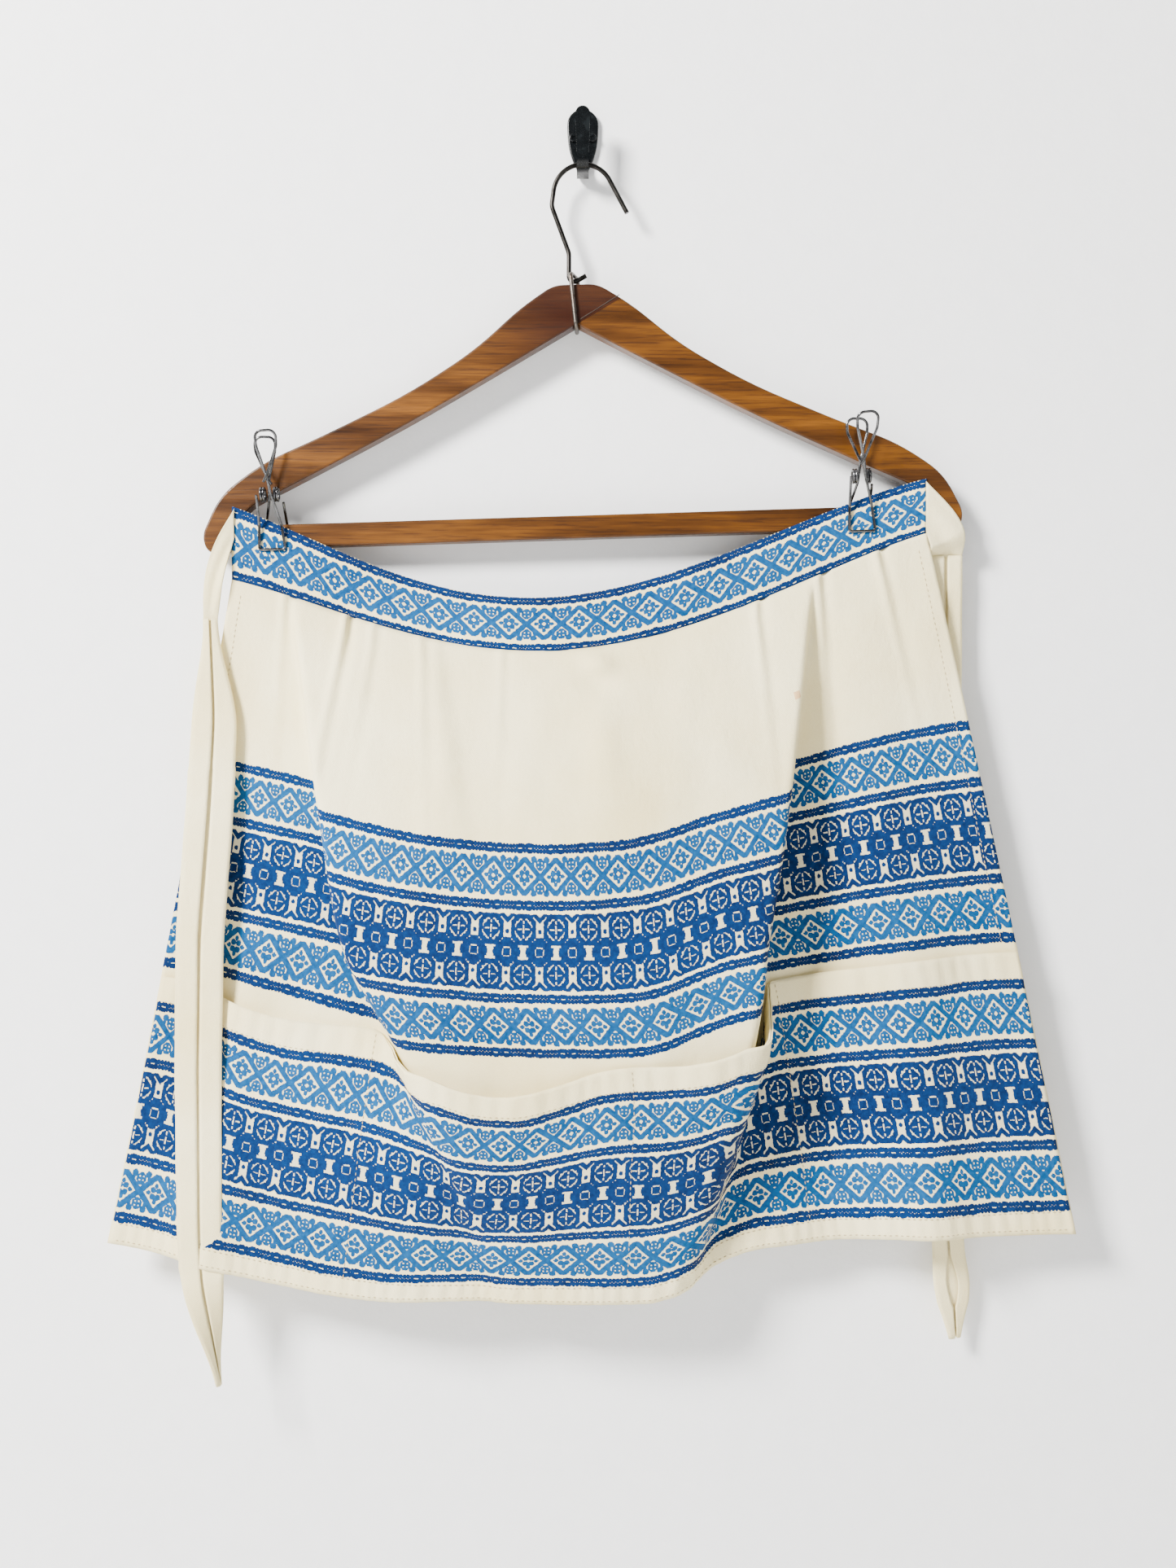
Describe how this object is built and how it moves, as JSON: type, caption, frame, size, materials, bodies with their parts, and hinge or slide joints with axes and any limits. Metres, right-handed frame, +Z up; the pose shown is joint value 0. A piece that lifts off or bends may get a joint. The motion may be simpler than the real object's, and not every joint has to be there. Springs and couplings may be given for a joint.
{
  "type": "half apron on a trouser hanger and wall hook",
  "caption": "Cotton half apron with woven bands and pockets, pegged to the bar of a wooden hanger on a small wall hook.",
  "frame": {"origin": "on the back face of the wall hook, midway between its screws' axes across and 1.5 mm below them", "axes": "+Z up, +Y into the wall, +X to the right seen from the room"},
  "size_m": [0.562, 0.087, 0.745],
  "materials": {
    "black_iron": "satin",
    "screw_steel": "satin",
    "hook_wire": "satin",
    "link_wire": "satin",
    "peg_wire": "gloss",
    "varnished_wood": "satin",
    "brad_steel": "satin",
    "woven_band": "matte",
    "cream_cotton": "matte"
  },
  "bodies": {
    "root": {"wall_hook": "black_iron", "wall_hook_screws": "screw_steel"},
    "wire_hook": {"hanger_wire_hook": "hook_wire"},
    "hanger": {"hanger_link": "link_wire", "left_arm": "varnished_wood", "right_arm": "varnished_wood", "trouser_bar": "varnished_wood", "bar_brads": "brad_steel", "left_peg_rear": "peg_wire", "left_peg_coils": "peg_wire", "right_peg_rear": "peg_wire", "right_peg_coils": "peg_wire", "waistband": "woven_band", "skirt": "cream_cotton", "pocket_panel": "woven_band", "pocket_top_hem": "cream_cotton", "bottom_hem": "cream_cotton", "left_side_hem": "cream_cotton", "right_side_hem": "cream_cotton", "left_tie_top": "cream_cotton", "right_tie_top": "cream_cotton"},
    "left_peg_front": {"left_peg_front": "peg_wire"},
    "right_peg_front": {"right_peg_front": "peg_wire"},
    "left_tie_end": {"left_tie": "cream_cotton"},
    "right_tie_end": {"right_tie": "cream_cotton"}
  },
  "joints": [
    {"name": "hook_sway", "type": "hinge", "parent": "root", "child": "wire_hook", "pos_m": [0.0003, -0.013, -0.03515], "axis": [0, 1, 0], "range_deg": [-8, 8]},
    {"name": "hanger_swing", "type": "hinge", "parent": "wire_hook", "child": "hanger", "pos_m": [-0.005, -0.013, -0.0836], "axis": [0, 1, 0], "range_deg": [-6, 6]},
    {"name": "left_peg_squeeze", "type": "hinge", "parent": "hanger", "child": "left_peg_front", "pos_m": [-0.18203, -0.0249, -0.21388], "axis": [0.9995, 0, 0.0311], "range_deg": [-10, 0], "stiffness_Nm_per_rad": 0.3, "springref_deg": 28.65},
    {"name": "right_peg_squeeze", "type": "hinge", "parent": "hanger", "child": "right_peg_front", "pos_m": [0.1621, -0.0249, -0.20319], "axis": [0.9995, 0, 0.0311], "range_deg": [-10, 0], "stiffness_Nm_per_rad": 0.3, "springref_deg": 28.65},
    {"name": "left_tie_lift", "type": "hinge", "parent": "hanger", "child": "left_tie_end", "pos_m": [-0.21, -0.0233, -0.2875], "axis": [-1, 0, 0], "range_deg": [0, 12]},
    {"name": "right_tie_swing", "type": "hinge", "parent": "hanger", "child": "right_tie_end", "pos_m": [0.2177, -0.0125, -0.2512], "axis": [0, 1, 0], "range_deg": [-6, 6]}
  ]
}
